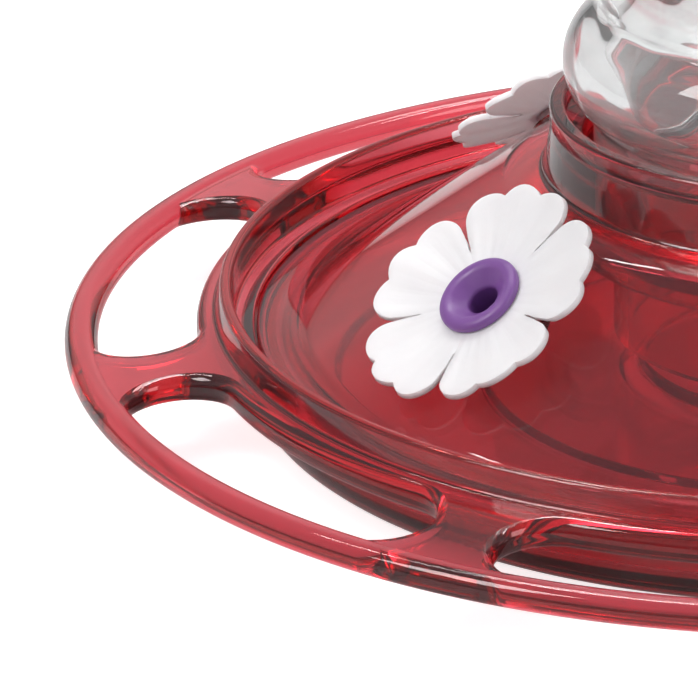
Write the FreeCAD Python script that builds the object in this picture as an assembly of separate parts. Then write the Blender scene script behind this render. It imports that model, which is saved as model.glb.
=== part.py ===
import FreeCAD, Part
import math
import os
from FreeCAD import Placement, Rotation, Vector

# Hummingbird feeder: a round nectar bowl with a perch ring, a conical cover with four flower
# ports, and an upside-down glass bottle that stands in the cover's collar.
# Millimetres, +Z up, origin at the middle of the underside of the bowl.

# Perch ring and the web that carries it
ring_outer_r = 105.0
ring_bar_width = 4.7
ring_bar_height = 4.06
ring_mid_z = 9.6
web_top_at_slot = 13.0
web_top_at_bar = 11.4
web_under_at_slot = 8.9
web_under_at_bar = 7.8
web_shelf_inset = 0.3
web_reach = 0.5
slot_count = 8
slot_width = 14.4
slot_overlap = 0.6
spoke_width = 11.1
slot_edge_round = 1.7

# Nectar bowl
bowl_wall = 2.6
bowl_floor = 2.4
bowl_corner_r = 5.1
ledge_z = 9.2
ledge_width = 1.2
ledge_round = 0.3
rim_slot_margin = 2.6
rim_foot_round = 0.8
rim_lean = 0.8
rim_top_z = 17.25
rim_wall = 1.6
rim_top_round = 0.75
gutter_width = 2.9
gutter_lean = 0.2
gutter_z = 11.4
gutter_round = 0.6
island_r = 24.0
island_rise = 3.0
island_slope_run = 3.0
trough_width = 20.0
trough_margin = 11.2
floor_step = 0.8
floor_round = 0.6
island_round = 1.5

# Cover
cover_wall = 2.0
cover_edge_thickness = 1.8
cover_clearance = 0.3
cone_angle = 35.0
groove_width = 4.890965
groove_round = 7.0
shoulder_width = 3.50415
shoulder_round = 9.0
skirt_wall = 1.4
skirt_depth = 2.7
skirt_round = 0.4
cover_edge_round = 0.5
cover_fillet = 2.0

# Collar, bottle seat and down-tube of the cover
collar_rise = 9.65
collar_top_r = 37.1
collar_foot_r = 38.0
collar_lip_height = 2.5
collar_lip_step = 0.3
collar_foot_round = 1.2
collar_top_round = 0.7
collar_mouth_round = 0.5
collar_mouth_depth = 2.4
collar_mouth_gap = 2.2
collar_wall = 2.2
seat_drop = 8.8
seat_shelf = 2.0
seat_round = 0.4
seat_rib_round = 1.5
seal_thickness = 2.0
seal_clearance = 0.1
seal_bore_margin = 0.2
down_tube_wall = 2.0
down_tube_inset = 0.4
down_tube_lift = 4.0
feed_notch_count = 4
feed_notch_width = 8.0
feed_notch_height = 3.0

# Glass bottle
glass_wall = 3.6
neck_r = 31.0
neck_clearance = 1.5
mouth_r = 26.4
bulge_r = 35.3
bulge_rise = 22.7
bulge_round = 8.3
waist_r = 30.4
neck_blend = 2.5
waist_rise = 37.6
waist_round = 18.0
body_r = 45.0
body_low_rise = 61.6
body_high_rise = 125.6
body_round = 22.0
stub_r = 12.0
stub_foot_rise = 145.6
stub_foot_round = 7.0
stub_inner_round = 5.0
bead_r = 12.8
bead_rise = 163.6
bead_step = 1.2
bead_round = 0.8
bottle_length = 169.6
bottle_top_round = 3.0
bulge_inset = 2.0
bulge_inner_round = 6.0
neck_inner_round = 3.0
mouth_inner_round = 0.8
mouth_outer_round = 1.0

# Flowers and feeding ports
flower_count = 4
flower_first_angle = 45.0
flower_shift = 0.523407
flower_rise = 5.556494
flower_tilt = 38.63
petal_count = 5
petal_turn = 57.0
petal_tip_r = 17.9
petal_side_tip_r = 17.6
lobe_r = 3.8
side_lobe_r = 3.6
side_lobe_angle = 19.6
petal_join_r = 9.4
petal_thickness = 0.9
petal_margin = 2.0
cup_rise = 1.6
cup_foot_r = 6.45
cup_round = 14.0
flower_hub_r = 5.4
boss_r = 6.6
boss_top = 2.9
boss_depth = 6.0
port_disc_r = 6.05
port_disc_drop = 0.8
port_crest_r = 4.7
port_crest = 0.9
port_hole_r = 2.2
port_wall = 1.0
port_length = 13.0
port_dish_depth = 1.2
port_side_rise = 0.36
port_edge_round = 0.6
port_crest_round = 1.4
port_throat_round = 0.8
port_hub_clearance = 0.05
port_boss_clearance = 0.1

# Hanger at the closed end of the bottle
band_drop = 16.0
band_height = 8.0
band_thickness = 1.3
band_clearance = 0.1
band_gap = 2.0
band_overlap = 0.4
ear_overlap = 1.0
ear_length = 9.0
ear_thickness = 1.2
tab_width = 7.0
tab_thickness = 1.2
pivot_rise = 3.5
screw_r = 1.5
screw_head_r = 2.9
screw_head_height = 2.0
screw_head_round = 0.8
screw_offset = 5.4
screw_clearance = 0.1
screw_tail = 1.4
nut_flats = 5.5
nut_height = 2.4
wire_r = 1.2
wire_clearance = 0.1
wire_bend_r = 3.0
bail_half_width = 17.5
bail_leg = 18.0
bail_end_inset = 1.4

# Limits used while the outlines are drawn
least_round = 0.2
length_slack = 1e-6
edge_slack = 0.01

# Sizes that follow from the ones above, from the perch ring inwards
z_axis = Vector(0, 0, 1)
x_axis = Vector(1, 0, 0)
ring_mid_r = ring_outer_r - ring_bar_width / 2
slot_outer_r = ring_outer_r - ring_bar_width + slot_overlap
slot_inner_r = slot_outer_r - slot_width
web_end_r = ring_mid_r + web_reach
rim_foot_r = slot_inner_r - rim_slot_margin
web_shelf_r = rim_foot_r - web_shelf_inset
rim_top_r = rim_foot_r - rim_lean
gutter_r = rim_top_r - rim_wall - gutter_lean
ledge_outer_r = gutter_r - gutter_width
bowl_inner_r = ledge_outer_r - ledge_width
bowl_outer_r = bowl_inner_r + bowl_wall
trough_outer_r = bowl_inner_r - trough_margin
trough_inner_r = trough_outer_r - trough_width

# The cover, from its edge up the cone to the collar
cone_slope = math.tan(math.radians(cone_angle))
cover_edge_z = ledge_z + cover_edge_thickness
cover_edge_r = ledge_outer_r - cover_clearance
cone_foot_r = cover_edge_r - groove_width
shoulder_r = collar_foot_r + shoulder_width
shoulder_z = cover_edge_z + (cone_foot_r - shoulder_r) * cone_slope
collar_top_z = shoulder_z + collar_rise
seat_z = shoulder_z - seat_drop
skirt_outer_r = bowl_inner_r - cover_clearance
bore_r = neck_r + neck_clearance
down_tube_bore_r = mouth_r - down_tube_inset
down_tube_end_z = bowl_floor + island_rise + down_tube_lift
collar_mouth_r = collar_top_r - collar_mouth_gap

# The bottle, from its mouth up to the closed end and the hanger
bottle_mouth_z = seat_z + seal_thickness
bulge_z = bottle_mouth_z + bulge_rise
waist_top_z = bottle_mouth_z + waist_rise
body_low_z = bottle_mouth_z + body_low_rise
body_high_z = bottle_mouth_z + body_high_rise
stub_foot_z = bottle_mouth_z + stub_foot_rise
bead_z = bottle_mouth_z + bead_rise
bottle_top_z = bottle_mouth_z + bottle_length
band_z = bottle_top_z - band_drop
pivot_z = bottle_top_z + pivot_rise
band_inner_r = stub_r + band_clearance
band_outer_r = band_inner_r + band_thickness

# The flowers, half-way down the cone
flower_r = (cone_foot_r + shoulder_r) / 2 + flower_shift
flower_z = cover_edge_z + (cone_foot_r - flower_r) * cone_slope + flower_rise
flower_angles = [flower_first_angle + 360.0 / flower_count * i for i in range(flower_count)]
port_tube_r = port_hole_r + port_wall
petal_top_at_hub = -port_disc_drop


def profile_edges(corners, closed=True):
    """Lines through (radius, height, rounding) corners in the XZ plane, joined by tangent arcs."""
    count = len(corners)
    points = [Vector(c[0], 0, c[1]) for c in corners]
    starts, ends, arcs = [], [], []
    for i, (point, corner) in enumerate(zip(points, corners)):
        inner = closed or 0 < i < count - 1
        if not inner or corner[2] <= 0:
            starts.append(point)
            ends.append(point)
            arcs.append(None)
            continue
        back = (points[i - 1] - point).normalize()
        ahead = (points[(i + 1) % count] - point).normalize()
        half = back.getAngle(ahead) / 2
        reach = corner[2] / math.tan(half)
        bisector = (back + ahead).normalize()
        centre = point + bisector * (corner[2] / math.sin(half))
        starts.append(point + back * reach)
        ends.append(point + ahead * reach)
        arcs.append(centre - bisector * corner[2])
    edges = []
    for i in range(count):
        if arcs[i] is not None:
            edges.append(Part.Arc(starts[i], arcs[i], ends[i]).toShape())
        if i == count - 1 and not closed:
            break
        following = starts[(i + 1) % count]
        if (following - ends[i]).Length > length_slack:
            edges.append(Part.LineSegment(ends[i], following).toShape())
    return edges


def revolved(corners):
    """Solid of revolution about Z from a closed rounded outline."""
    face = Part.Face(Part.Wire(profile_edges(corners)))
    return face.revolve(Vector(0, 0, 0), z_axis, 360)


def inset(corners, distance):
    """The same open outline moved to its right-hand side, with roundings that stay concentric."""
    points = [Vector(c[0], c[1], 0) for c in corners]
    ways = [(b - a).normalize() for a, b in zip(points, points[1:])]
    sides = [Vector(w.y, -w.x, 0) for w in ways]
    moved = [points[0] + sides[0] * distance]
    roundings = [0.0]
    for i in range(1, len(points) - 1):
        turn = ways[i - 1].cross(ways[i]).z
        middle = (sides[i - 1] + sides[i]).normalize()
        moved.append(points[i] + middle * (distance / middle.dot(sides[i])))
        grown = corners[i][2] + (distance if turn > 0 else -distance)
        roundings.append(max(grown, least_round) if corners[i][2] > 0 else 0.0)
    moved.append(points[-1] + sides[-1] * distance)
    roundings.append(0.0)
    return [(p.x, p.y, r) for p, r in zip(moved, roundings)]


def web_top(radius):
    """Height of the web's upper face, which falls evenly from the rim to the perch bar."""
    share = (radius - slot_inner_r) / (slot_outer_r - slot_inner_r)
    return web_top_at_slot + (web_top_at_bar - web_top_at_slot) * share


def web_under(radius):
    """Height of the web's lower face, which falls less than the upper one."""
    share = (radius - slot_inner_r) / (slot_outer_r - slot_inner_r)
    return web_under_at_slot + (web_under_at_bar - web_under_at_slot) * share


def on_cone(z):
    """Radius at which the outside of the cover's cone reaches a height."""
    return cone_foot_r + (cover_edge_z - z) / cone_slope


def one_solid(shape):
    """The single cleaned solid of a fused or cut shape."""
    cleaned = shape.removeSplitter()
    return cleaned.Solids[0] if len(cleaned.Solids) == 1 else cleaned


def polar(radius, degrees, z=0.0):
    angle = math.radians(degrees)
    return Vector(radius * math.cos(angle), radius * math.sin(angle), z)


def perch_slot():
    """One curved slot between two spokes, with full round ends, as an upright cutter along +X."""
    half_width = (slot_outer_r - slot_inner_r) / 2
    middle_r = slot_inner_r + half_width
    half_angle = 180.0 / slot_count
    half_angle -= math.degrees(math.asin((spoke_width / 2 + half_width) / middle_r))
    edges = []
    inner = [polar(slot_inner_r, a) for a in (-half_angle, 0, half_angle)]
    outer = [polar(slot_outer_r, a) for a in (half_angle, 0, -half_angle)]
    edges.append(Part.Arc(*inner).toShape())
    far_end = polar(middle_r, half_angle) + polar(half_width, half_angle + 90)
    edges.append(Part.Arc(inner[2], far_end, outer[0]).toShape())
    edges.append(Part.Arc(*outer).toShape())
    near_end = polar(middle_r, -half_angle) + polar(half_width, -half_angle - 90)
    edges.append(Part.Arc(outer[2], near_end, inner[0]).toShape())
    return Part.Face(Part.Wire(edges)).extrude(z_axis * rim_top_z)


def nectar_bowl():
    """Bowl, web, spokes and perch ring as one moulding."""
    under = [
        (0, island_rise, 0),
        (island_r, island_rise, island_round),
        (island_r + island_slope_run, floor_step, island_round),
        (trough_inner_r, floor_step, floor_round),
        (trough_inner_r + floor_step, 0, floor_round),
    ]
    inside = [(r, z + bowl_floor, rounding) for r, z, rounding in under]
    outline = under + [
        (bowl_outer_r, 0, bowl_corner_r),
        (bowl_outer_r, web_under(web_shelf_r), floor_round),
        (web_shelf_r, web_under(web_shelf_r), 0),
        (web_end_r, web_under(web_end_r), 0),
        (web_end_r, web_top(web_end_r), 0),
        (rim_foot_r, web_top(rim_foot_r), rim_foot_round),
        (rim_top_r, rim_top_z, rim_top_round),
        (rim_top_r - rim_wall, rim_top_z, rim_top_round),
        (gutter_r, gutter_z, gutter_round),
        (ledge_outer_r, gutter_z, gutter_round),
        (ledge_outer_r, ledge_z, 0),
        (bowl_inner_r, ledge_z, ledge_round),
        (bowl_inner_r, bowl_floor + floor_step, bowl_corner_r - bowl_wall),
        (trough_outer_r + floor_step, bowl_floor + floor_step, floor_round),
        (trough_outer_r, bowl_floor, floor_round),
    ] + inside[::-1]
    moulding = revolved(outline)
    for i in range(slot_count):
        cutter = perch_slot()
        cutter.rotate(Vector(0, 0, 0), z_axis, 360.0 / slot_count * i)
        moulding = moulding.cut(cutter)
    slot_edges = []
    for edge in moulding.Edges:
        box = edge.BoundBox
        upright = max(box.XLength, box.YLength) < edge_slack
        reach = [math.hypot(v.X, v.Y) for v in edge.Vertexes]
        if not upright and min(reach) > slot_inner_r - edge_slack and max(reach) < slot_outer_r + edge_slack:
            slot_edges.append(edge)
    moulding = moulding.makeFillet(slot_edge_round, slot_edges)
    bar = Part.Ellipse(Vector(0, 0, 0), ring_bar_width / 2, ring_bar_height / 2).toShape()
    bar = Part.Face(Part.Wire(bar))
    bar.rotate(Vector(0, 0, 0), x_axis, 90)
    bar.translate(Vector(ring_mid_r, 0, ring_mid_z))
    return one_solid(moulding.fuse(bar.revolve(Vector(0, 0, 0), z_axis, 360)))


def flower_place(angle):
    """Placement of a flower's own frame: +Z out of the flower, +X down the slope."""
    tilt = Placement(Vector(flower_r, 0, flower_z), Rotation(Vector(0, 1, 0), flower_tilt))
    turn = Placement(Vector(0, 0, 0), Rotation(z_axis, angle))
    return turn.multiply(tilt)


def base_cover():
    """Conical cover with its collar, bottle seat, down-tube, skirt and four port bosses."""
    dome = [
        (cover_edge_r, cover_edge_z, 0),
        (cone_foot_r, cover_edge_z, groove_round),
        (shoulder_r, shoulder_z, shoulder_round),
        (collar_foot_r, shoulder_z, 0),
    ]
    dome_inside = inset(dome, -cover_wall)[::-1]
    collar_under_r = bore_r + collar_wall
    skirt_inner_r = skirt_outer_r - skirt_wall
    tube_outer_r = down_tube_bore_r + down_tube_wall
    lip_z = collar_top_z - collar_lip_height
    outline = [
        (cover_edge_r, ledge_z, 0),
        (cover_edge_r, cover_edge_z, cover_edge_round),
        dome[1],
        dome[2],
        (collar_foot_r, shoulder_z, collar_foot_round),
        (collar_top_r - collar_lip_step, lip_z - collar_lip_step, 0),
        (collar_top_r, lip_z, 0),
        (collar_top_r, collar_top_z, collar_top_round),
        (collar_mouth_r, collar_top_z, collar_mouth_round),
        (collar_mouth_r, collar_top_z - collar_mouth_depth, collar_mouth_round),
        (bore_r, collar_top_z - collar_mouth_depth - (collar_mouth_r - bore_r), collar_mouth_round),
        (bore_r, seat_z, 0),
        (down_tube_bore_r, seat_z, seat_round),
        (down_tube_bore_r, down_tube_end_z, 0),
        (tube_outer_r, down_tube_end_z, 0),
        (tube_outer_r, seat_z - seat_shelf, seat_rib_round),
        (collar_under_r, seat_z - seat_shelf, seat_rib_round),
        (collar_under_r, dome_inside[0][1], collar_foot_round),
        dome_inside[1],
        (on_cone(ledge_z + cover_wall / math.cos(math.radians(cone_angle))), ledge_z, cover_fillet),
        (skirt_inner_r, ledge_z, 0),
        (skirt_inner_r, ledge_z - skirt_depth, 0),
        (skirt_outer_r, ledge_z - skirt_depth, skirt_round),
        (skirt_outer_r, ledge_z, 0),
    ]
    cover = revolved(outline)
    for angle in flower_angles:
        boss = Part.makeCylinder(boss_r, boss_depth, Vector(0, 0, -boss_top - boss_depth))
        boss.Placement = flower_place(angle)
        cover = cover.fuse(boss)
    for angle in flower_angles:
        length = boss_depth * 3
        hole_r = port_tube_r + port_boss_clearance
        hole = Part.makeCylinder(hole_r, length, Vector(0, 0, boss_depth - length))
        hole.Placement = flower_place(angle)
        cover = cover.cut(hole)
    for i in range(feed_notch_count):
        notch = Part.makeBox(down_tube_wall * 3, feed_notch_width, feed_notch_height * 2)
        notch.translate(Vector(down_tube_bore_r - down_tube_wall, -feed_notch_width / 2,
                               down_tube_end_z - feed_notch_height))
        notch.rotate(Vector(0, 0, 0), z_axis, 360.0 / feed_notch_count * i)
        cover = cover.cut(notch)
    return one_solid(cover)


def bottle_seal():
    """Flat rubber ring under the mouth of the bottle."""
    inner_r = down_tube_bore_r + seal_bore_margin
    outer_r = bore_r - seal_clearance
    return revolved([(inner_r, seat_z, 0), (outer_r, seat_z, 0),
                     (outer_r, bottle_mouth_z, 0), (inner_r, bottle_mouth_z, 0)])


def bottle():
    """Thick blown bottle, mouth down, with a bulge above the collar and a closed stub on top."""
    point_r = bulge_r + bulge_round * (math.sqrt(2) - 1)
    neck_meet_z = bulge_z - (point_r - neck_r)
    waist_meet_z = bulge_z + (point_r - waist_r)
    outside = [
        (neck_r, bottle_mouth_z, 0),
        (neck_r, neck_meet_z, neck_blend),
        (point_r, bulge_z, bulge_round),
        (waist_r, waist_meet_z, neck_blend),
        (waist_r, waist_top_z, waist_round),
        (body_r, body_low_z, body_round),
        (body_r, body_high_z, body_round),
        (stub_r, stub_foot_z, stub_foot_round),
    ]
    inside = inset(outside + [(stub_r, bead_z, 0)], -glass_wall)
    cavity_top_z = inside[-2][1]
    cavity = [
        (mouth_r, bottle_mouth_z, 0),
        (mouth_r, neck_meet_z, neck_inner_round),
        (inside[2][0] - bulge_inset, bulge_z, bulge_inner_round),
        (inside[3][0], waist_meet_z, neck_inner_round),
    ] + inside[4:7] + [
        (inside[-2][0], cavity_top_z, stub_inner_round),
        (0, cavity_top_z, 0),
    ]
    outline = [
        (mouth_r, bottle_mouth_z, mouth_inner_round),
        (neck_r, bottle_mouth_z, mouth_outer_round),
    ] + outside[1:] + [
        (stub_r, bead_z - bead_step, bead_round),
        (bead_r, bead_z, bead_round),
        (bead_r, bottle_top_z, bottle_top_round),
        (0, bottle_top_z, 0),
    ] + cavity[:0:-1]
    return revolved(outline)


def flower_outline(height):
    """Upright prism with the flower's five three-lobed petals, centred on its own frame."""
    prism = Part.makeCylinder(petal_join_r, height)
    side_r = petal_side_tip_r - side_lobe_r
    edge_angle = side_lobe_angle + math.degrees(math.asin(side_lobe_r / side_r))
    edge_r = math.sqrt(side_r ** 2 - side_lobe_r ** 2)
    for i in range(petal_count):
        middle = petal_turn + 360.0 / petal_count * i
        left, right = polar(edge_r, middle + edge_angle), polar(edge_r, middle - edge_angle)
        tip = polar(petal_tip_r - lobe_r, middle)
        blade = Part.makePolygon([Vector(0, 0, 0), right, tip, left, Vector(0, 0, 0)])
        pieces = [Part.Face(blade).extrude(z_axis * height)]
        pieces.append(Part.makeCylinder(lobe_r, height, tip))
        for way in (-1, 1):
            spot = polar(side_r, middle + way * side_lobe_angle)
            pieces.append(Part.makeCylinder(side_lobe_r, height, spot))
        prism = prism.multiFuse(pieces)
    return prism.removeSplitter()


def flower():
    """White flower: a shallow cup cut to five petals, on a short round hub."""
    hub_bore_r = port_tube_r + port_hub_clearance
    reach_r = petal_tip_r + petal_margin
    rise = cup_rise * (reach_r - port_disc_r) / (petal_tip_r - port_disc_r)
    top = [
        (hub_bore_r, petal_top_at_hub, 0),
        (cup_foot_r, petal_top_at_hub, cup_round),
        (reach_r, petal_top_at_hub + rise, 0),
    ]
    below = [(r, z - petal_thickness, rounding) for r, z, rounding in top]
    cup = revolved(top + below[::-1])
    outline = flower_outline(petal_thickness + rise + petal_margin * 2)
    outline.translate(z_axis * (petal_top_at_hub - petal_thickness - petal_margin))
    petals = one_solid(cup.common(outline))
    hub_height = boss_top + petal_top_at_hub - petal_thickness / 2
    hub = Part.makeCylinder(flower_hub_r, hub_height, Vector(0, 0, -boss_top))
    bore = Part.makeCylinder(hub_bore_r, boss_top * 3, Vector(0, 0, -boss_top * 1.5))
    return one_solid(petals.fuse(hub).cut(bore))


def port():
    """Purple feeding tube with a dished round head."""
    return revolved([
        (port_hole_r, -port_length, 0),
        (port_tube_r, -port_length, 0),
        (port_tube_r, -port_disc_drop, 0),
        (port_disc_r, -port_disc_drop, 0),
        (port_disc_r, port_side_rise, port_edge_round),
        (port_crest_r, port_crest, port_crest_round),
        (port_hole_r, -port_dish_depth, port_throat_round),
    ])


def hanger_band():
    """Clamp band round the stub, with two upright tabs for the bail and two screw ears."""
    band = Part.makeCylinder(band_outer_r, band_height, Vector(0, 0, band_z))
    band = band.cut(Part.makeCylinder(band_inner_r, band_height, Vector(0, 0, band_z)))
    gap = Part.makeBox(band_gap, band_outer_r * 2, band_height, Vector(-band_gap / 2, 0, band_z))
    band = band.cut(gap)
    ear_y = band_outer_r - ear_overlap
    for x in (band_gap / 2, -band_gap / 2 - ear_thickness):
        ear = Part.makeBox(ear_thickness, ear_length, band_height, Vector(x, ear_y, band_z))
        band = band.fuse(ear)
    screw_hole_r = screw_r + screw_clearance
    hole = Part.makeCylinder(screw_hole_r, ear_length, screw_spot() - x_axis * ear_length / 2, x_axis)
    band = band.cut(hole)
    tab_x = band_outer_r - band_overlap
    for x in (tab_x, -tab_x - tab_thickness):
        tab = Part.makeBox(tab_thickness, tab_width, pivot_z - band_z,
                           Vector(x, -tab_width / 2, band_z))
        top = Part.makeCylinder(tab_width / 2, tab_thickness, Vector(x, 0, pivot_z), x_axis)
        band = band.fuse(tab).fuse(top)
    pivot = Part.makeCylinder(wire_r + wire_clearance, band_outer_r * 4,
                              Vector(-band_outer_r * 2, 0, pivot_z), x_axis)
    return one_solid(band.cut(pivot))


def screw_spot():
    """Middle of the clamp screw."""
    return Vector(0, band_inner_r + screw_offset, band_z + band_height / 2)


def band_screw():
    outer_x = band_gap / 2 + ear_thickness
    length = outer_x * 2 + nut_height + screw_tail
    spot = screw_spot()
    shank = Part.makeCylinder(screw_r, length, spot + x_axis * (outer_x - length), x_axis)
    head = Part.makeCylinder(screw_head_r, screw_head_height, spot + x_axis * outer_x, x_axis)
    head = head.makeFillet(screw_head_round, [head.Edges[0]])
    return one_solid(shank.fuse(head))


def band_nut():
    corner_r = nut_flats / math.sqrt(3)
    spots = [Vector(0, corner_r * math.cos(math.radians(a)), corner_r * math.sin(math.radians(a)))
             for a in range(0, 361, 60)]
    nut = Part.Face(Part.makePolygon(spots)).extrude(-x_axis * nut_height)
    bore_radius = screw_r + screw_clearance / 2
    nut = nut.cut(Part.makeCylinder(bore_radius, nut_height, Vector(0, 0, 0), -x_axis))
    nut.translate(screw_spot() - x_axis * (band_gap / 2 + ear_thickness))
    return nut


def hanger_bail():
    """Wire bail: two legs on the tabs and a half-round arch to hang by."""
    end_x = band_outer_r - band_overlap - bail_end_inset
    arch_z = pivot_z + bail_leg
    side = profile_edges([(end_x, pivot_z, 0), (bail_half_width, pivot_z, wire_bend_r),
                          (bail_half_width, arch_z, 0)], closed=False)
    other = [edge.mirror(Vector(0, 0, 0), x_axis) for edge in side]
    arch = Part.Arc(Vector(bail_half_width, 0, arch_z), Vector(0, 0, arch_z + bail_half_width),
                    Vector(-bail_half_width, 0, arch_z)).toShape()
    path = Part.Wire(Part.__sortEdges__(side + [arch] + other))
    section = Part.Wire(Part.makeCircle(wire_r, Vector(end_x, 0, pivot_z), x_axis))
    return path.makePipeShell([section], True, False)


def export(name, shape):
    solid = shape if shape.ShapeType == "Solid" else Part.Solid(shape.Shells[0])
    solid.exportStep("parts/" + name + ".step")
    box = solid.BoundBox
    print("%-14s valid %s volume %9.1f  z %7.2f to %7.2f  faces %d"
          % (name, solid.isValid(), solid.Volume, box.ZMin, box.ZMax, len(solid.Faces)))


def main():
    os.makedirs("parts", exist_ok=True)
    export("nectar_bowl", nectar_bowl())
    export("base_cover", base_cover())
    export("bottle_seal", bottle_seal())
    export("bottle", bottle())
    petals, tube = flower(), port()
    for i, angle in enumerate(flower_angles, start=1):
        for name, shape in (("flower", petals), ("port", tube)):
            placed = shape.copy()
            placed.Placement = flower_place(angle)
            export("%s_%d" % (name, i), placed)
    export("hanger_band", hanger_band())
    export("band_screw", band_screw())
    export("band_nut", band_nut())
    export("hanger_bail", hanger_bail())


main()
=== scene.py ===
# %% [markdown]
# # Hummingbird feeder
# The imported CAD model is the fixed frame. Every piece made here sits in that frame, in metres, with +Z up
# along the bottle and the origin under the middle of the nectar bowl.

# %% Load the frame
import math
import bmesh
import bpy
from mathutils import Matrix, Vector


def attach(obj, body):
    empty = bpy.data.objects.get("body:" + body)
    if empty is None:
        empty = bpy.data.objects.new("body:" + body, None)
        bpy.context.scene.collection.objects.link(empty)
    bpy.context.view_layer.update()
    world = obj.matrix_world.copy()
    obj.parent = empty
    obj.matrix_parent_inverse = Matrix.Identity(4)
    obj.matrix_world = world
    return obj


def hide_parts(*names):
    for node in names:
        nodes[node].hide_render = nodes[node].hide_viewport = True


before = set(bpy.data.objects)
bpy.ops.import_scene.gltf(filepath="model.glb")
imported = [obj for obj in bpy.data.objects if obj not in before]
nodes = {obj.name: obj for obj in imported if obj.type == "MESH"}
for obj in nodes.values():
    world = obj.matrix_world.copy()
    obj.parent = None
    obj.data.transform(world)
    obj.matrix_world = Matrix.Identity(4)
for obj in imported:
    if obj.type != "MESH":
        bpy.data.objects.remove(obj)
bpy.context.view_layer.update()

MM = 0.001
UP = Vector((0, 0, 1))

# %% [markdown]
# ## Camera
# The camera looks down at about 21 degrees from nearly a metre away with a long lens, which is what makes
# the perch ring a flat oval. It aims at the ring's middle, then turns a little, so that the ring runs out
# of the right side of the picture.

# %% Camera
CAMERA_REACH = 961.9 * MM
CAMERA_RISE = math.radians(21.36)
CAMERA_SIDE = math.radians(6.25)
CAMERA_TURN = [math.radians(angle) for angle in (3.88, -0.27, 0.88)]
RING_HEIGHT = 9.6 * MM
FOCAL_PIXELS, IMAGE_PIXELS = 6846.8, 698
SENSOR_WIDTH = 36
CAMERA_SIGHT = 10


def aim_camera():
    """Camera on its own sight line to the ring's middle, turned about its up, side and view axes."""
    spot = Vector((0, -math.cos(CAMERA_RISE), math.sin(CAMERA_RISE)))
    side = Vector((1, 0, 0))
    over = spot.cross(side)
    facing = Matrix((side, over, spot)).transposed()
    yaw, pitch, roll = CAMERA_TURN
    facing = facing @ Matrix.Rotation(yaw, 3, "Y") @ Matrix.Rotation(pitch, 3, "X")
    facing = facing @ Matrix.Rotation(roll, 3, "Z")
    around = Matrix.Rotation(CAMERA_SIDE, 3, "Z")
    place = (around @ facing).to_4x4()
    place.translation = around @ (spot * CAMERA_REACH) + UP * RING_HEIGHT
    return place


lens = bpy.data.cameras.new("feeder_camera")
lens.sensor_width = SENSOR_WIDTH
lens.lens = lens.sensor_width * FOCAL_PIXELS / IMAGE_PIXELS
lens.clip_end = CAMERA_SIGHT
camera = bpy.data.objects.new("feeder_camera", lens)
camera.matrix_world = aim_camera()
bpy.context.scene.collection.objects.link(camera)
bpy.context.scene.camera = camera
print("lens", round(lens.lens, 1), "mm, camera at",
      [round(v, 3) for v in camera.matrix_world.translation])

# %% [markdown]
# ## Turned outlines
# Most of a feeder is round, so most of its pieces start as half of a section: a few corners, each with a
# radius, a height and a rounding in millimetres. A vertex bevel turns each corner into an arc, and a full
# spin makes the closed skin. The glints on clear plastic show every facet, so the spin takes many steps.
# Cuts and joins are exact booleans with all their copies in one tool, and the weighted normals put on at
# the end keep the flats beside a rounding flat.

# %% Outline and lathe helpers
STEPS = 320
MERGE_GAP = 0.002 * MM
SHARP_ANGLE = 32
NORMAL_WEIGHT = 80


def outline(corners, segments=6):
    """bmesh with one face in the XZ plane, its corners rounded by a vertex bevel."""
    bm = bmesh.new()
    spots = [bm.verts.new((r * MM, 0, z * MM)) for r, z, _ in corners]
    bm.faces.new(spots)
    for i, (spot, corner) in enumerate(zip(spots, corners)):
        if corner[2] <= 0:
            continue
        neighbours = (corner, corners[i - 1], corners[(i + 1) % len(corners)])
        here, back, ahead = [Vector(c[:2]) for c in neighbours]
        half = (back - here).angle(ahead - here) / 2
        bmesh.ops.bevel(bm, geom=[spot], offset=corner[2] / math.tan(half) * MM, offset_type="OFFSET",
                        segments=segments, profile=0.5, affect="VERTICES", material=-1)
    return bm


def lathe(corners, steps=STEPS, segments=6):
    """Closed skin of revolution about Z from a rounded outline."""
    bm = outline(corners, segments)
    bmesh.ops.delete(bm, geom=list(bm.faces), context="FACES_ONLY")
    bmesh.ops.spin(bm, geom=bm.verts[:] + bm.edges[:], cent=(0, 0, 0), axis=UP, angle=math.tau,
                   steps=steps, use_merge=True)
    bmesh.ops.remove_doubles(bm, verts=bm.verts, dist=MERGE_GAP)
    bmesh.ops.delete(bm, geom=[edge for edge in bm.edges if not edge.link_faces], context="EDGES")
    bmesh.ops.recalc_face_normals(bm, faces=bm.faces)
    return bm


def finish_mesh(bm, name, sharp=SHARP_ANGLE):
    """Object at the origin from a bmesh, smooth except along sharp edges."""
    mesh = bpy.data.meshes.new(name)
    bm.to_mesh(mesh)
    bm.free()
    mesh.shade_smooth()
    mesh.set_sharp_from_angle(angle=math.radians(sharp))
    piece = bpy.data.objects.new(name, mesh)
    bpy.context.scene.collection.objects.link(piece)
    return piece


def apply_modifiers(piece):
    """Replace a piece's mesh by what its modifiers make of it."""
    graph = bpy.context.evaluated_depsgraph_get()
    made = bpy.data.meshes.new_from_object(piece.evaluated_get(graph))
    piece.modifiers.clear()
    piece.data = made


def combine(piece, tool, operation):
    """Cut or join another piece with a boolean, then drop that piece."""
    modifier = piece.modifiers.new("combine", "BOOLEAN")
    modifier.operation = operation
    modifier.solver = "EXACT"
    modifier.object = tool
    apply_modifiers(piece)
    bpy.data.objects.remove(tool)


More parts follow.
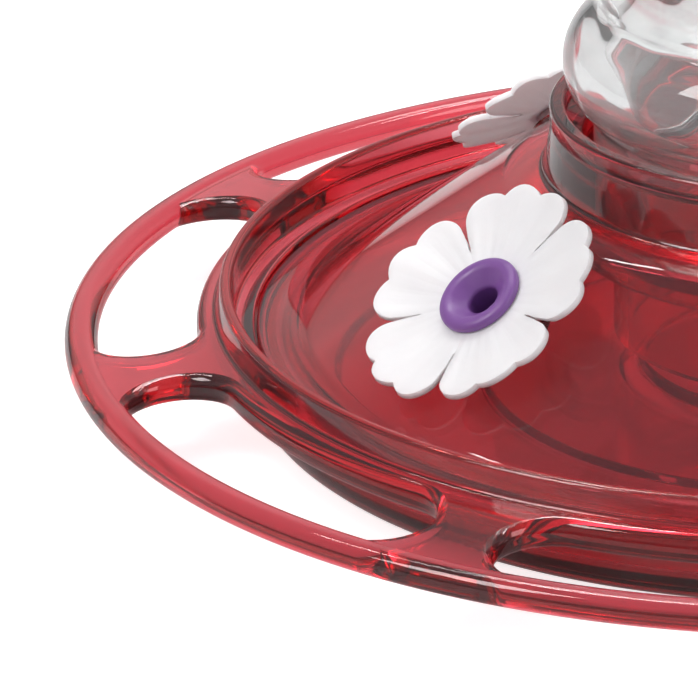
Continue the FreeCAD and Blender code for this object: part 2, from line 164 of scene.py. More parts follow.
def repeated(bm, turns):
    """The same bmesh copied round the Z axis, so that one boolean does the work of all its copies."""
    first = bm.verts[:] + bm.edges[:] + bm.faces[:]
    for i in range(1, turns):
        copy = bmesh.ops.duplicate(bm, geom=first)["geom"]
        verts = [part for part in copy if isinstance(part, bmesh.types.BMVert)]
        turn = Matrix.Rotation(math.tau * i / turns, 3, "Z")
        bmesh.ops.rotate(bm, verts=verts, cent=(0, 0, 0), matrix=turn)
    return bm


def steady_normals(piece):
    """Normals that follow the large faces, so that flats next to a rounding stay flat."""
    piece.data.shade_smooth()
    piece.data.set_sharp_from_angle(angle=math.radians(SHARP_ANGLE))
    modifier = piece.modifiers.new("steady_normals", "WEIGHTED_NORMAL")
    modifier.keep_sharp = True
    modifier.weight = NORMAL_WEIGHT
    apply_modifiers(piece)


def dress(piece, node, body):
    """The piece stands for a CAD node, which it hides, and rides on its body."""
    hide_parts(node)
    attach(piece, body)
    print("%-20s %6d faces" % (piece.name, len(piece.data.polygons)))


print("a full turn takes", STEPS, "steps, and edges over", SHARP_ANGLE, "degrees stay sharp")

# %% [markdown]
# ## Nectar bowl
# The bowl, the web with its eight slots, and the perch ring that the birds sit on are one moulding. The web
# thins and falls gently from the rim to the perch bar. It could be a sheet with holes and a bevel, but the
# bevel of a curved slot pinches at its ends. So the section is spun first, and the slots are then cut by
# eight curved cutters that flare at both ends, which leaves the rounded slot edges that catch the light.
# The bar is thicker than the web, so it is joined last.

# %% Bowl section
BAR_MIDDLE_R, BAR_MIDDLE_Z = 102.65, 9.6
BAR_WIDTH, BAR_HEIGHT, BAR_ROUND = 4.7, 4.06, 2.0
SLOT_COUNT = 8
SLOT_INNER_R, SLOT_OUTER_R = 86.5, 100.9
SPOKE_WIDTH = 11.1
SLOT_ROUND = 1.7
WEB_TOP = (13.0, 11.4)
WEB_UNDER = (8.9, 7.8)
SHELF_R, RIM_FOOT_R, RIM_TOP_Z, WEB_END_R = 83.6, 83.9, 17.25, 103.15
BOWL_R, BOWL_INNER_R, BOWL_ROUND = 79.8, 77.2, 5.1
FLOOR_Z, LOW_FLOOR_Z = 3.2, 2.4
FOOT_R, FOOT_INNER_R, FOOT_RISE = 46.8, 46.0, 0.8
DOME_R, DOME_EDGE_R, DOME_RISE, DOME_TOP_Z = 27.0, 24.0, 3.0, 5.4
GUTTER_Z, LEDGE_Z = 11.4, 9.2
ARC_POINTS, END_STEPS, FLARE_STEPS = 24, 18, 8
CUTTER_LOW_Z = 4.0
FLARE_OVERLAP = 0.03


def web_face(face, radius):
    """Height of a face of the web at a radius, from its heights beside the bowl and at the bar."""
    share = (radius - SLOT_INNER_R) / (SLOT_OUTER_R - SLOT_INNER_R)
    return face[0] + (face[1] - face[0]) * share


UNDERSIDE = [
    (0, DOME_RISE, 0), (DOME_EDGE_R, DOME_RISE, 1.5), (DOME_R, FOOT_RISE, 1.5),
    (FOOT_INNER_R, FOOT_RISE, 0.6), (FOOT_R, 0, 0.6), (BOWL_R, 0, BOWL_ROUND),
    (BOWL_R, web_face(WEB_UNDER, SHELF_R), 0.6), (SHELF_R, web_face(WEB_UNDER, SHELF_R), 0),
]
WEB = [
    (WEB_END_R, web_face(WEB_UNDER, WEB_END_R), 0), (WEB_END_R, web_face(WEB_TOP, WEB_END_R), 0),
    (RIM_FOOT_R, web_face(WEB_TOP, RIM_FOOT_R), 0.8),
]
RIM = [
    (83.1, RIM_TOP_Z, 0.75), (81.5, RIM_TOP_Z, 0.75), (81.3, GUTTER_Z, 0.6),
    (78.4, GUTTER_Z, 0.6), (78.4, LEDGE_Z, 0), (BOWL_INNER_R, LEDGE_Z, 0.3),
]
INSIDE = [
    (BOWL_INNER_R, FLOOR_Z, 2.5), (66.8, FLOOR_Z, 0.6), (66.0, LOW_FLOOR_Z, 0.6),
    (FOOT_R, LOW_FLOOR_Z, 0.6), (FOOT_INNER_R, FLOOR_Z, 0.6), (DOME_R, FLOOR_Z, 1.5),
    (DOME_EDGE_R, DOME_TOP_Z, 1.5), (0, DOME_TOP_Z, 0),
]
BOWL_SECTION = UNDERSIDE + WEB + RIM + INSIDE
print("the bowl's section has", len(BOWL_SECTION), "corners")


def slot_loop(bm, growth, face, offset):
    """One closed outline of a perch slot, grown outwards, at an offset from a face of the web."""
    middle_r = (SLOT_INNER_R + SLOT_OUTER_R) / 2
    half_width = (SLOT_OUTER_R - SLOT_INNER_R) / 2
    half_angle = math.pi / SLOT_COUNT - math.asin((SPOKE_WIDTH / 2 + half_width) / middle_r)
    half_width += growth
    spots = []
    for way in (1, -1):
        for i in range(ARC_POINTS):
            angle = way * half_angle * (2 * i / (ARC_POINTS - 1) - 1)
            spots.append(Vector((math.cos(angle), math.sin(angle), 0)) * (middle_r + way * half_width))
        end = Matrix.Rotation(way * half_angle, 3, "Z")
        for i in range(1, END_STEPS):
            turn = math.pi * i / END_STEPS
            spots.append(end @ Vector((middle_r + way * half_width * math.cos(turn),
                                       way * half_width * math.sin(turn), 0)))
    for spot in spots:
        spot.z = web_face(face, spot.length) + offset
    verts = [bm.verts.new(spot * MM) for spot in spots]
    return [bm.edges.new(pair) for pair in zip(verts, verts[1:] + verts[:1])]


def slot_cutters():
    """Cutters for the slots: straight in the middle of the web, flared to both faces."""
    bm = bmesh.new()
    flare = [math.pi / 2 * i / FLARE_STEPS for i in range(FLARE_STEPS + 1)]
    edge = [(SLOT_ROUND * (1 - math.sin(turn)), SLOT_ROUND * (1 - math.cos(turn)) - FLARE_OVERLAP)
            for turn in flare]
    rings = [slot_loop(bm, SLOT_ROUND, (CUTTER_LOW_Z, CUTTER_LOW_Z), 0)]
    rings += [slot_loop(bm, growth, WEB_UNDER, offset) for growth, offset in edge]
    rings += [slot_loop(bm, growth, WEB_TOP, -offset) for growth, offset in edge[::-1]]
    rings.append(slot_loop(bm, SLOT_ROUND, (RIM_TOP_Z, RIM_TOP_Z), 0))
    for below, above in zip(rings, rings[1:]):
        bmesh.ops.bridge_loops(bm, edges=below + above)
    bmesh.ops.contextual_create(bm, geom=rings[0])
    bmesh.ops.contextual_create(bm, geom=rings[-1])
    bmesh.ops.recalc_face_normals(bm, faces=bm.faces)
    return finish_mesh(repeated(bm, SLOT_COUNT), "slot_cutters")


# %% Bowl moulding
bowl = finish_mesh(lathe(BOWL_SECTION, segments=8), "nectar_bowl_moulding")
combine(bowl, slot_cutters(), "DIFFERENCE")
bar_low, bar_high = BAR_MIDDLE_Z - BAR_HEIGHT / 2, BAR_MIDDLE_Z + BAR_HEIGHT / 2
bar_in, bar_out = BAR_MIDDLE_R - BAR_WIDTH / 2, BAR_MIDDLE_R + BAR_WIDTH / 2
bar_corners = ((bar_in, bar_low), (bar_out, bar_low), (bar_out, bar_high), (bar_in, bar_high))
bar = finish_mesh(lathe([(r, z, BAR_ROUND) for r, z in bar_corners], segments=10), "perch_bar")
combine(bowl, bar, "UNION")
steady_normals(bowl)
dress(bowl, "nectar_bowl", "bowl")

# %% [markdown]
# ## Cover
# The cover is a cone that dips into a groove beside the rim and rounds into a shoulder under the collar.
# The collar takes the mouth of the bottle, and a short tube under it leads the nectar down into the bowl.
# All of that is round and hollow, so one lathe makes both faces of the wall at once. Four short bosses
# under the flowers hold the feeding tubes. They lean with the slope, so they are joined and drilled last.

# %% Cover section
SHOULDER_Z, SHOULDER_UNDER_Z = 33.2, 31.2
COLLAR_TOP_Z, SEAT_Z, TUBE_LOW_Z = 42.85, 24.4, 9.4
CONE_OUTSIDE = [
    (78.1, LEDGE_Z, 0), (78.1, 11.0, 0.5), (73.209, 11.0, 7.0), (41.504, SHOULDER_Z, 9.0),
    (38.0, SHOULDER_Z, 1.2),
]
COLLAR = [
    (36.8, 40.05, 0), (37.1, 40.35, 0), (37.1, COLLAR_TOP_Z, 0.7), (34.9, COLLAR_TOP_Z, 0.5),
    (34.9, 40.45, 0.5), (32.5, 38.05, 0.5), (32.5, SEAT_Z, 0),
]
DOWN_TUBE = [
    (26.0, SEAT_Z, 0.4), (26.0, TUBE_LOW_Z, 0), (28.0, TUBE_LOW_Z, 0), (28.0, 22.4, 1.5),
    (34.7, 22.4, 1.5),
]
CONE_INSIDE = [
    (34.7, SHOULDER_UNDER_Z, 1.2), (40.874, SHOULDER_UNDER_Z, 7.0), (72.293, LEDGE_Z, 2.0),
    (75.5, LEDGE_Z, 0), (75.5, 6.5, 0), (76.9, 6.5, 0.4), (76.9, LEDGE_Z, 0),
]
COVER_SECTION = CONE_OUTSIDE + COLLAR + DOWN_TUBE + CONE_INSIDE
print("the cover's section has", len(COVER_SECTION), "corners")

# %% Places of the flowers
FLOWER_R, FLOWER_Z = 57.88, 27.29
FLOWER_TILT = math.radians(38.63)
FLOWER_ANGLES = [math.radians(45 + 90 * i) for i in range(4)]
BOSS_R, BOSS_TOP, BOSS_DEPTH = 6.6, 2.9, 6.0
TUBE_R, TUBE_GAP = 3.2, 0.1
DRILL_LOW, DRILL_HIGH = -14, 6
ROD_SIDES = 64


def flower_place(angle):
    """Where a flower sits: its own +Z points out of the slope and its +X points down it."""
    spot = Matrix.Translation(Vector((FLOWER_R, 0, FLOWER_Z)) * MM)
    return Matrix.Rotation(angle, 4, "Z") @ spot @ Matrix.Rotation(FLOWER_TILT, 4, "Y")


def rod(radius, low, high):
    """Closed round bar along Z, from low to high."""
    bm = bmesh.new()
    bmesh.ops.create_cone(bm, cap_ends=True, segments=ROD_SIDES, radius1=radius * MM,
                          radius2=radius * MM, depth=(high - low) * MM)
    bmesh.ops.translate(bm, verts=bm.verts, vec=UP * (low + high) / 2 * MM)
    return bm


def rods_under_flowers(radius, low, high):
    """One such bar under each of the four flowers."""
    bm = rod(radius, low, high)
    bmesh.ops.transform(bm, matrix=flower_place(FLOWER_ANGLES[0]), verts=bm.verts)
    return finish_mesh(repeated(bm, len(FLOWER_ANGLES)), "rods")


# %% Cone and bosses
cover = finish_mesh(lathe(COVER_SECTION, segments=8), "cone_cover")
combine(cover, rods_under_flowers(BOSS_R, -BOSS_TOP - BOSS_DEPTH, -BOSS_TOP), "UNION")
combine(cover, rods_under_flowers(TUBE_R + TUBE_GAP, DRILL_LOW, DRILL_HIGH), "DIFFERENCE")
steady_normals(cover)
dress(cover, "base_cover", "cover")

# %% [markdown]
# ## Bottle
# The bottle hangs upside down with its mouth in the collar. Thick blown glass follows its mould outside but
# is never even inside. A bump would only disturb the glints, so the unevenness is real here: the outer skin
# is turned smooth, and the vertices of the inner skin move in and out by a few tenths of a millimetre,
# which bends what shows through it. The movement is the sum of four waves, each with its turns round the
# bottle, its climb for each metre of height, its start and its size.

# %% Bottle section
MOUTH_Z, BULGE_Z, WAIST_Z, END_Z = 26.4, 49.1, 57.438, 196.0
MOUTH_R, BODY_R, NECK_R, BEAD_R = 31.0, 45.0, 12.0, 12.8
MOUTH_INNER_R, BODY_INNER_R, WAIST_R, WAIST_INNER_R = 26.4, 41.4, 30.4, 26.8
SLEEVE_TOP_Z, INNER_END_Z = 41.362, 169.972
GLASS_OUTSIDE = [
    (MOUTH_INNER_R, MOUTH_Z, 0.8), (MOUTH_R, MOUTH_Z, 1.0), (MOUTH_R, SLEEVE_TOP_Z, 2.5),
    (38.738, BULGE_Z, 8.3), (WAIST_R, WAIST_Z, 2.5), (WAIST_R, 64.0, 18.0), (BODY_R, 88.0, 22.0),
    (BODY_R, 152.0, 22.0), (NECK_R, 172.0, 7.0), (NECK_R, 188.8, 0.8), (BEAD_R, 190.0, 0.8),
    (BEAD_R, END_Z, 3.0), (0, END_Z, 0),
]
GLASS_INSIDE = [
    (0, INNER_END_Z, 0), (8.4, INNER_END_Z, 5.0), (BODY_INNER_R, 149.972, 18.4),
    (BODY_INNER_R, 89.009, 18.4), (WAIST_INNER_R, 65.009, 21.6), (WAIST_INNER_R, WAIST_Z, 3.0),
    (31.647, BULGE_Z, 6.0), (MOUTH_INNER_R, SLEEVE_TOP_Z, 3.0),
]
GLASS_STEPS, LONGEST_EDGE, EXTRA_CUTS = 256, 6, 8
WAVE_DEPTH, WAVE_FROM_Z, WAVE_FROM_R = 0.5, 30, 5
WAVES = ((3, 90, 0, 1), (5, -160, 1.3, 1), (11, 420, 0, 0.5), (17, -230, 2.1, 0.4))
print("the bottle's section has", len(GLASS_OUTSIDE + GLASS_INSIDE), "corners")

# %% Bottle with its uneven inside


def inner_skin(x, y, z):
    """Sum of the waves at a point of the inner wall, from -1 to 1, without a seam."""
    angle = math.atan2(y, x)
    height = sum(size * math.sin(turns * angle + climb * z + start) for turns, climb, start, size in WAVES)
    return height / sum(size for turns, climb, start, size in WAVES)


bm = lathe(GLASS_OUTSIDE + GLASS_INSIDE, steps=GLASS_STEPS, segments=10)
long_edges = [edge for edge in bm.edges if edge.calc_length() > LONGEST_EDGE * MM]
bmesh.ops.subdivide_edges(bm, edges=long_edges, cuts=EXTRA_CUTS, use_grid_fill=True)
for vert in bm.verts:
    around = Vector((vert.co.x, vert.co.y, 0))
    inward = vert.normal.dot(around) < 0 and vert.co.z > WAVE_FROM_Z * MM
    if inward and around.length > WAVE_FROM_R * MM:
        vert.co += around.normalized() * inner_skin(*vert.co) * WAVE_DEPTH * MM
bottle = finish_mesh(bm, "glass_bottle")
dress(bottle, "bottle", "bottle")

# %% [markdown]
# ## Flowers
# Each flower is one moulding with five petals, and each petal ends in three soft lobes. The petals are a
# thin curved sheet, which a grid gives more evenly than a filled outline. So a grid is bent into one petal:
# its rows run from the hub to the lobed tip. Five copies are turned and merged, and the sheet then gets
# its thickness and its rounded edge from modifiers. Each vertex also remembers how far it stands up as a
# vein, which the finish reads later.

# %% Petals
PETALS = 5
PETAL_TURN = math.radians(57.0)
HUB_EDGE_R, JOIN_R, SIDE_R = 3.4, 9.4, 13.4
SIDE_LOBE = math.radians(19.6)
LOBES = ((0.0, 14.1, 3.8), (SIDE_LOBE, 14.0, 3.6), (-SIDE_LOBE, 14.0, 3.6))
HALF_PETAL = math.pi / PETALS
HALF_TIP = math.radians(34.3)
PETAL_GAP, PETAL_MERGE = 0.012, 0.01
GRID_ROWS, GRID_COLUMNS = 18, 40
PETAL_THICKNESS, PETAL_EDGE, EDGE_ANGLE = 0.9, 0.4, 55
SHEET_SHARP, FLOWER_SHARP = 80, 50
VEINS = 7
HUB_SECTION = [(3.3, -BOSS_TOP, 0), (5.4, -BOSS_TOP, 0.3), (5.4, -1.2, 0), (3.3, -1.2, 0)]
HUB_STEPS = 64
CUP_START_R, CUP_REACH, CUP_LOW, CUP_RISE = 6.0, 12.0, -0.8, 1.6
FOLD_DEPTH, FOLD_GROWTH = 0.22, 1.6
DROOP_DEPTH, DROOP_GROWTH = 0.35, 1.5
print(PETALS, "petals of", len(LOBES), "lobes,", PETAL_THICKNESS, "mm thick")


def tip_radius(angle):
    """Radius at which a ray from the middle leaves the petal's three lobes."""
    best = 0
    for lobe_angle, lobe_r, radius in LOBES:
        across = lobe_r * math.sin(angle - lobe_angle)
        if abs(across) < radius:
            best = max(best, lobe_r * math.cos(angle - lobe_angle) + math.sqrt(radius ** 2 - across ** 2))
    return max(best, SIDE_R)


def petal_height(radius, share):
    """Height of the sheet: a shallow cup with a raised middle rib and soft folds towards the lobes."""
    out = max(0.0, (radius - CUP_START_R) / CUP_REACH)
    cup = CUP_LOW + CUP_RISE * out ** 1.5
    fold = FOLD_DEPTH * math.cos(share * math.tau) * min(1, out * FOLD_GROWTH)
    droop = DROOP_DEPTH * share ** 4 * min(1, out * DROOP_GROWTH)
    return cup + fold - droop


def petal_sheet():
    """One petal as a bent grid, whose vertices also carry how far they stand up as a vein."""
    bm = bmesh.new()
    vein = bm.verts.layers.float.new("vein")
    bmesh.ops.create_grid(bm, x_segments=GRID_ROWS, y_segments=GRID_COLUMNS, size=1)
    for vert in bm.verts:
        along, share = (vert.co.x + 1) / 2, vert.co.y
        share = math.sin(share * math.pi / 2)
        side = HUB_EDGE_R + (SIDE_R - HUB_EDGE_R) * along
        opening = min(1, max(0, (side - JOIN_R) / (SIDE_R - JOIN_R)))
        half = HALF_PETAL + (HALF_TIP - HALF_PETAL) * opening
        if opening > 0:
            half = min(half, HALF_PETAL - PETAL_GAP)
        tip = tip_radius(share * HALF_TIP)
        radius = HUB_EDGE_R + (tip - HUB_EDGE_R) * along
        angle = share * half + PETAL_TURN
        vert[vein] = math.sin(along * math.pi) * (0.5 + 0.5 * math.cos(share * math.pi * VEINS))
        around = Vector((math.cos(angle), math.sin(angle), 0)) * radius
        vert.co = (around + UP * petal_height(radius, share)) * MM
    return bm


# %% Flowers


def petals_mesh():
    """All the petals as one sheet, merged where they meet beside the hub, its faces up."""
    bm = repeated(petal_sheet(), PETALS)
    bmesh.ops.remove_doubles(bm, verts=bm.verts, dist=PETAL_MERGE * MM)
    bmesh.ops.recalc_face_normals(bm, faces=bm.faces)
    if sum(face.normal.z for face in bm.faces) < 0:
        bmesh.ops.reverse_faces(bm, faces=bm.faces)
    return bm


def add_flower(index, place):
    """One flower: the thickened petals and the ring under them that sits on the boss."""
    flower = finish_mesh(petals_mesh(), "petals_%d" % index, sharp=SHEET_SHARP)
    shell = flower.modifiers.new("thickness", "SOLIDIFY")
    shell.thickness = PETAL_THICKNESS * MM
    shell.offset = -1
    rim = flower.modifiers.new("edge", "BEVEL")
    rim.width = PETAL_EDGE * MM
    rim.segments = 3
    rim.limit_method = "ANGLE"
    rim.angle_limit = math.radians(EDGE_ANGLE)
    apply_modifiers(flower)
    hub = lathe(HUB_SECTION, steps=HUB_STEPS)
    hub.from_mesh(flower.data)
    hub.to_mesh(flower.data)
    hub.free()
    flower.data.transform(place)
    flower.data.shade_smooth()
    flower.data.set_sharp_from_angle(angle=math.radians(FLOWER_SHARP))
    dress(flower, "flower_%d" % index, "flower_%d" % index)
    return flower


places = [flower_place(angle) for angle in FLOWER_ANGLES]
flowers = [add_flower(i, place) for i, place in enumerate(places, start=1)]

# %% [markdown]
# ## Feeding ports
# The purple tube ends in a dished disc with a raised round crest, and the dish runs down into the hole that
# the bird's bill goes through. It is round all over, so the lathe makes it whole, and it is then laid into
# the slope by the same place as its flower.

# %% Ports
HOLE_R, DISC_R, CREST_R = 2.2, 6.05, 4.7
TUBE_END, DISC_UNDER, CREST_TOP, DISH_LOW = -13.0, -0.8, 0.9, -1.2
PORT_SECTION = [
    (HOLE_R, TUBE_END, 0), (TUBE_R, TUBE_END, 0.3), (TUBE_R, DISC_UNDER, 0), (DISC_R, DISC_UNDER, 0.4),
    (DISC_R, 0.36, 0.6), (CREST_R, CREST_TOP, 1.4), (HOLE_R, DISH_LOW, 0.8),
]
PORT_STEPS = 96
print("port disc", 2 * DISC_R, "mm across, its hole", 2 * HOLE_R, "mm")


def add_port(index, place):
    port = finish_mesh(lathe(PORT_SECTION, steps=PORT_STEPS), "port_tube_%d" % index)
    port.data.transform(place)
    dress(port, "port_%d" % index, "flower_%d" % index)
    return port


ports = [add_port(i, place) for i, place in enumerate(places, start=1)]

# %% [markdown]
# ## Shared effects
# No moulded or blown surface is perfectly even. Three small effects are shared by all the finishes: a
# colour that wanders between two shades, a value that wanders between two limits, and a ripple that tilts
# the normal. Painted textures would need unwrapping, and noise over the piece's own metres doesn't. Each
# effect is a node group, so every finish only states its own sizes and strengths.

# %% Effect groups
SOCKETS = {"value": "NodeSocketFloat", "colour": "NodeSocketColor", "normal": "NodeSocketVector"}
NOISE_DETAIL = 1.0
NOISE_LOW, NOISE_HIGH = 0.3, 0.7


def effect_group(name, inputs, output):
    """Empty shader group with named sockets, and the nodes that it starts and ends with."""
    tree = bpy.data.node_groups.new(name, "ShaderNodeTree")
    for label, kind in inputs:
        tree.interface.new_socket(name=label, in_out="INPUT", socket_type=SOCKETS[kind])
    tree.interface.new_socket(name=output[0], in_out="OUTPUT", socket_type=SOCKETS[output[1]])
    return tree, tree.nodes.new("NodeGroupInput"), tree.nodes.new("NodeGroupOutput")


def group_noise(tree, start):
    """Noise over the piece's own metres, at the scale that the group is given."""
    place = tree.nodes.new("ShaderNodeTexCoord")
    noise = tree.nodes.new("ShaderNodeTexNoise")
    noise.inputs["Detail"].default_value = NOISE_DETAIL
    tree.links.new(place.outputs["Object"], noise.inputs["Vector"])
    tree.links.new(start.outputs["Scale"], noise.inputs["Scale"])
    return noise.outputs["Fac"]


def wandering_colour():
    """Colour between two shades."""
    inputs = [("Scale", "value"), ("First", "colour"), ("Second", "colour")]
    tree, start, end = effect_group("wandering_colour", inputs, ("Colour", "colour"))
    blend = tree.nodes.new("ShaderNodeMix")
    blend.data_type = "RGBA"
    tree.links.new(group_noise(tree, start), blend.inputs["Factor"])
    tree.links.new(start.outputs["First"], blend.inputs["A"])
    tree.links.new(start.outputs["Second"], blend.inputs["B"])
    tree.links.new(blend.outputs["Result"], end.inputs["Colour"])
    return tree


def wandering_value():
    """Value between two limits, which the noise's usual low and high reach."""
    inputs = [("Scale", "value"), ("Low", "value"), ("High", "value")]
    tree, start, end = effect_group("wandering_value", inputs, ("Value", "value"))
    spread = tree.nodes.new("ShaderNodeMapRange")
    spread.inputs["From Min"].default_value = NOISE_LOW
    spread.inputs["From Max"].default_value = NOISE_HIGH
    tree.links.new(group_noise(tree, start), spread.inputs["Value"])
    tree.links.new(start.outputs["Low"], spread.inputs["To Min"])
    tree.links.new(start.outputs["High"], spread.inputs["To Max"])
    tree.links.new(spread.outputs["Result"], end.inputs["Value"])
    return tree


def ripple():
    """Normal tilted by waves of a depth in metres."""
    inputs = [("Scale", "value"), ("Depth", "value")]
    tree, start, end = effect_group("ripple", inputs, ("Normal", "normal"))
    tilt = tree.nodes.new("ShaderNodeBump")
    tree.links.new(group_noise(tree, start), tilt.inputs["Height"])
    tree.links.new(start.outputs["Depth"], tilt.inputs["Distance"])
    tree.links.new(tilt.outputs["Normal"], end.inputs["Normal"])
    return tree


EFFECTS = {"colour": wandering_colour(), "value": wandering_value(), "ripple": ripple()}
print("shared effects:", ", ".join(sorted(tree.name for tree in EFFECTS.values())))

# %% Finish helpers


def new_material(name):
    """Material with nodes: one Principled BSDF and the output."""
    material = bpy.data.materials.new(name)
    material.use_nodes = True
    return material


def shader_of(material):
    return material.node_tree.nodes["Principled BSDF"]


def add_effect(material, effect, target, **settings):
    """Drive one input of a material's shader by a shared effect with its own settings."""
    use = material.node_tree.nodes.new("ShaderNodeGroup")
    use.node_tree = EFFECTS[effect]
    for label, value in settings.items():
        use.inputs[label.capitalize()].default_value = value
    material.node_tree.links.new(use.outputs[0], shader_of(material).inputs[target])


def set_material(piece, material):
    """Give a piece this one material."""
    piece.data.materials.clear()
    piece.data.materials.append(material)


# %% [markdown]
# ## Red plastic
# The bowl and the cover are moulded from a clear plastic with a deep red dye. The dye works through the
# depth, so a thin web is pink-red and a long look along a wall is nearly black. A red surface colour alone
# would tint every wall alike. So most of the colour is a volume that takes out green and blue over the
# distance, and the surface adds a pale tint. Ripples of the mould bend the highlights a little.

# %% Red plastic
TINT_DEEP, TINT_PALE = (0.98, 0.42, 0.47, 1), (1.0, 0.50, 0.54, 1)
DYE_COLOUR, DYE_DENSITY = (0.88, 0.10, 0.22, 1), 420


def red_plastic():
    material = new_material("red_clear_plastic")
    shader = shader_of(material)
    shader.inputs["Transmission Weight"].default_value = 0.97
    shader.inputs["IOR"].default_value = 1.5
    add_effect(material, "colour", "Base Color", scale=35, first=TINT_DEEP, second=TINT_PALE)
    add_effect(material, "value", "Roughness", scale=110, low=0.01, high=0.06)
    add_effect(material, "ripple", "Normal", scale=60, depth=0.05 * MM)
    tree = material.node_tree
    dye = tree.nodes.new("ShaderNodeVolumeAbsorption")
    dye.inputs["Color"].default_value = DYE_COLOUR
    dye.inputs["Density"].default_value = DYE_DENSITY
    tree.links.new(dye.outputs["Volume"], tree.nodes["Material Output"].inputs["Volume"])
    return material


red = red_plastic()
for piece in (bowl, cover):
    set_material(piece, red)
print("red plastic on", bowl.name, "and", cover.name)

# %% [markdown]
# ## Clear glass
# The bottle is clear blown glass with slow waves from the mould and the air, and its wall has the faintest
# cold tint. The real wall thickness bends the light, so the finish only needs plain glass, and its noise
# keeps the long highlights from looking drawn with a ruler.

# %% Clear glass
GLASS_COLD, GLASS_CLEAR = (0.97, 0.99, 0.99, 1), (1.0, 1.0, 1.0, 1)


def clear_glass():
    material = new_material("clear_glass")
    shader = shader_of(material)
    shader.inputs["Transmission Weight"].default_value = 0.9
    shader.inputs["IOR"].default_value = 1.5
    add_effect(material, "colour", "Base Color", scale=25, first=GLASS_COLD, second=GLASS_CLEAR)
    add_effect(material, "value", "Roughness", scale=60, low=0.0, high=0.02)
    add_effect(material, "ripple", "Normal", scale=120, depth=0.08 * MM)
    return material


set_material(bottle, clear_glass())
print("clear glass on", bottle.name)


# %% [markdown]
# ## Petals, ports, seal and hanger
# The petals are a satin white plastic, thin enough to let some light through, with faint veins that run
# out from the hub. The ports are dyed purple, the seal is black rubber, and the hanger is plain steel wire
# and strip with a fine uneven grain. All four are solid finishes that differ in colour, gloss and grain, so
# one function makes them. Only the petals and the steel add something of their own.

# %% Solid finish
GLOSS_SPREAD = 0.08
GLOSS_FINER, GRAIN_FINER = 2, 6


def solid_finish(name, first, second, rough, scale, depth):
    """Two shades, a roughness that wanders about its middle, and a finer grain of a depth in mm."""
    material = new_material(name)
    add_effect(material, "colour", "Base Color", scale=scale, first=first, second=second)
    add_effect(material, "value", "Roughness", scale=scale * GLOSS_FINER,
               low=rough - GLOSS_SPREAD, high=rough + GLOSS_SPREAD)
    add_effect(material, "ripple", "Normal", scale=scale * GRAIN_FINER, depth=depth * MM)
    return material


purple = solid_finish("purple_port_plastic", (0.17, 0.06, 0.26, 1), (0.21, 0.08, 0.31, 1), 0.38, 300, 0.02)
for piece in ports:
    set_material(piece, purple)
rubber = solid_finish("black_seal_rubber", (0.025, 0.025, 0.027, 1), (0.05, 0.05, 0.05, 1), 0.7, 260, 0.05)
set_material(nodes["bottle_seal"], rubber)
print("purple plastic on", len(ports), "ports, and rubber on the seal")

# %% Petals and steel
PETAL_SHADES = (0.88, 0.88, 0.91, 1), (0.94, 0.94, 0.95, 1)
LIGHT_THROUGH, LIGHT_REACH = 0.6, 3.5
VEIN_DEPTH = 0.06
STEEL_SHADES = (0.50, 0.50, 0.51, 1), (0.62, 0.62, 0.63, 1)


def petal_plastic():
    """White plastic that scatters light inside, with the veins bumped on top of its grain."""
    material = solid_finish("white_petal_plastic", *PETAL_SHADES, 0.42, 150, 0.02)
    tree, shader = material.node_tree, shader_of(material)
    shader.inputs["Subsurface Weight"].default_value = LIGHT_THROUGH
    shader.inputs["Subsurface Radius"].default_value = (1.0, 1.0, 1.0)
    shader.inputs["Subsurface Scale"].default_value = LIGHT_REACH * MM
    height = tree.nodes.new("ShaderNodeAttribute")
    height.attribute_name = "vein"
    veins = tree.nodes.new("ShaderNodeBump")
    veins.inputs["Distance"].default_value = VEIN_DEPTH * MM
    tree.links.new(height.outputs["Fac"], veins.inputs["Height"])
    grain = shader.inputs["Normal"].links[0].from_socket
    tree.links.new(grain, veins.inputs["Normal"])
    tree.links.new(veins.outputs["Normal"], shader.inputs["Normal"])
    return material


white = petal_plastic()
for piece in flowers:
    set_material(piece, white)
steel = solid_finish("hanger_steel", *STEEL_SHADES, 0.28, 220, 0.01)
shader_of(steel).inputs["Metallic"].default_value = 1.0
for name in ("hanger_band", "band_screw", "band_nut", "hanger_bail"):
    set_material(nodes[name], steel)
print("white plastic on", len(flowers), "flowers, and steel on the hanger")

# %% [markdown]
# ## Floor
# The feeder stands on white with a faint shadow. Lamps that make a floor white would burn out the petals,
# so the floor is a middling grey that adds its own glow only where the camera, or a mirror-like glint,
# looks straight at it. The shadow stays, because the glow is the same everywhere and only lifts it.

# %% Floor
FLOOR_SIZE, FLOOR_DROP = 3, 0.2
FLOOR_GREY = (0.48, 0.48, 0.48, 1)
GLOW_SEEN, GLOW_MIRRORED = 0.82, 0.16


def glowing_floor():
    """Matt grey that glows for camera rays, and a little for glossy ones."""
    material = new_material("studio_floor")
    tree, shader = material.node_tree, shader_of(material)
    shader.inputs["Base Color"].default_value = FLOOR_GREY
    shader.inputs["Roughness"].default_value = 0.9
    shader.inputs["Specular IOR Level"].default_value = 0.0
    shader.inputs["Emission Color"].default_value = (1, 1, 1, 1)
    path = tree.nodes.new("ShaderNodeLightPath")
    seen = tree.nodes.new("ShaderNodeMath")
    seen.operation = "MULTIPLY"
    seen.inputs[1].default_value = GLOW_SEEN
    glow = tree.nodes.new("ShaderNodeMath")
    glow.operation = "MULTIPLY_ADD"
    glow.inputs[1].default_value = GLOW_MIRRORED
    tree.links.new(path.outputs["Is Camera Ray"], seen.inputs[0])
    tree.links.new(path.outputs["Is Glossy Ray"], glow.inputs[0])
    tree.links.new(seen.outputs[0], glow.inputs[2])
    tree.links.new(glow.outputs[0], shader.inputs["Emission Strength"])
    return material


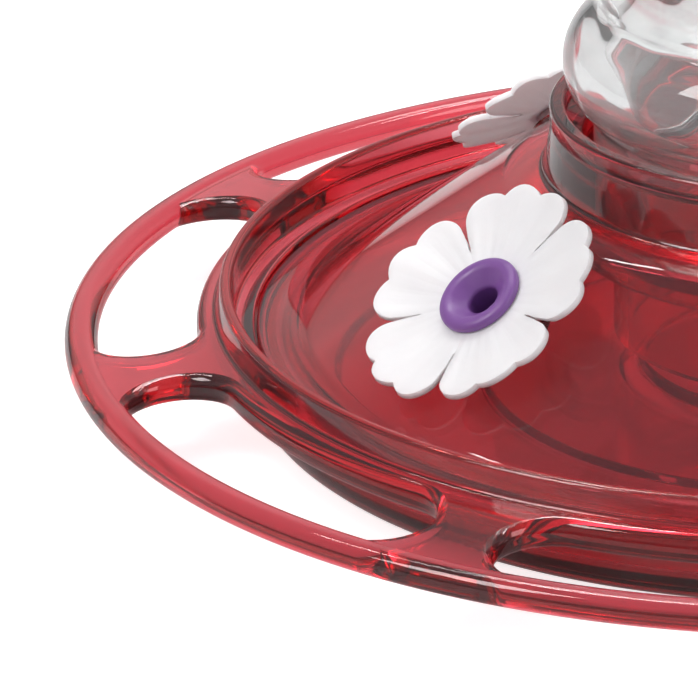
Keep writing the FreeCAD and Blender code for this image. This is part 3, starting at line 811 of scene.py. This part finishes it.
bm = bmesh.new()
bmesh.ops.create_grid(bm, x_segments=1, y_segments=1, size=FLOOR_SIZE)
bmesh.ops.translate(bm, verts=bm.verts, vec=-UP * FLOOR_DROP * MM)
floor = finish_mesh(bm, "studio_floor")
set_material(floor, glowing_floor())
print("floor", 2 * FLOOR_SIZE, "m wide,", FLOOR_DROP, "mm below the feeder")

# %% [markdown]
# ## World
# The camera, and whatever looks through the glass and the plastic, sees a plain white room. Every other ray
# sees a soft grey one that is palest a little above the horizon, so that the curved plastic gets dark and
# light bands to mirror instead of one flat white.

# %% World
WORLD_SHADES = ((0.0, (0.12, 0.12, 0.12, 1)), (0.3, (0.60, 0.60, 0.60, 1)), (0.6, (0.32, 0.32, 0.33, 1)))
world = bpy.data.worlds.new("studio")
world.use_nodes = True
bpy.context.scene.world = world
tree = world.node_tree
place = tree.nodes.new("ShaderNodeTexCoord")
split = tree.nodes.new("ShaderNodeSeparateXYZ")
ramp = tree.nodes.new("ShaderNodeValToRGB")
shades = ramp.color_ramp.elements
shades.new(WORLD_SHADES[1][0])
for shade, (height, colour) in zip(shades, WORLD_SHADES):
    shade.position, shade.color = height, colour
path = tree.nodes.new("ShaderNodeLightPath")
seen = tree.nodes.new("ShaderNodeMath")
seen.operation = "MAXIMUM"
mix = tree.nodes.new("ShaderNodeMix")
mix.data_type = "RGBA"
mix.inputs["B"].default_value = (1, 1, 1, 1)
tree.links.new(place.outputs["Generated"], split.inputs["Vector"])
tree.links.new(split.outputs["Z"], ramp.inputs["Fac"])
tree.links.new(ramp.outputs["Color"], mix.inputs["A"])
tree.links.new(path.outputs["Is Camera Ray"], seen.inputs[0])
tree.links.new(path.outputs["Is Transmission Ray"], seen.inputs[1])
tree.links.new(seen.outputs[0], mix.inputs["Factor"])
tree.links.new(mix.outputs["Result"], tree.nodes["Background"].inputs["Color"])
print("world shades at", [height for height, colour in WORLD_SHADES])

# %% [markdown]
# ## Lamps
# The highlights on the collar and the rim are the shapes of the lamps, so the lamps are large boxes as in a
# product studio: a key at the left front, a wide one behind, a weak fill at the right, and a narrow strip
# above the back that draws the long thin glints along the perch ring.

# %% Lamps
LOW_TARGET, HIGH_TARGET = (0, 0, 0.02), (0, 0, 0.05)
BOXES = (
    ("key_box", (-0.7, -0.5, 0.9), LOW_TARGET, 0.45, 0.45, 7),
    ("back_box", (0.0, 0.55, 1.15), LOW_TARGET, 0.8, 0.45, 9),
    ("fill_box", (0.9, -0.4, 0.6), HIGH_TARGET, 0.5, 0.7, 4),
    ("strip_box", (0.0, 0.28, 0.9), LOW_TARGET, 1.3, 0.05, 4),
)


def soft_box(name, spot, target, width, height, power):
    """Area lamp at a spot, turned to face a target, its size in metres and its power in watts."""
    lamp = bpy.data.lights.new(name, "AREA")
    lamp.shape = "RECTANGLE"
    lamp.size, lamp.size_y = width, height
    lamp.energy = power
    box = bpy.data.objects.new(name, lamp)
    box.location = spot
    box.rotation_euler = (Vector(target) - Vector(spot)).to_track_quat("-Z", "Y").to_euler()
    bpy.context.scene.collection.objects.link(box)


for box in BOXES:
    soft_box(*box)
bpy.context.scene.view_settings.view_transform = "Standard"
print("lamps:", ", ".join(box[0] for box in BOXES))
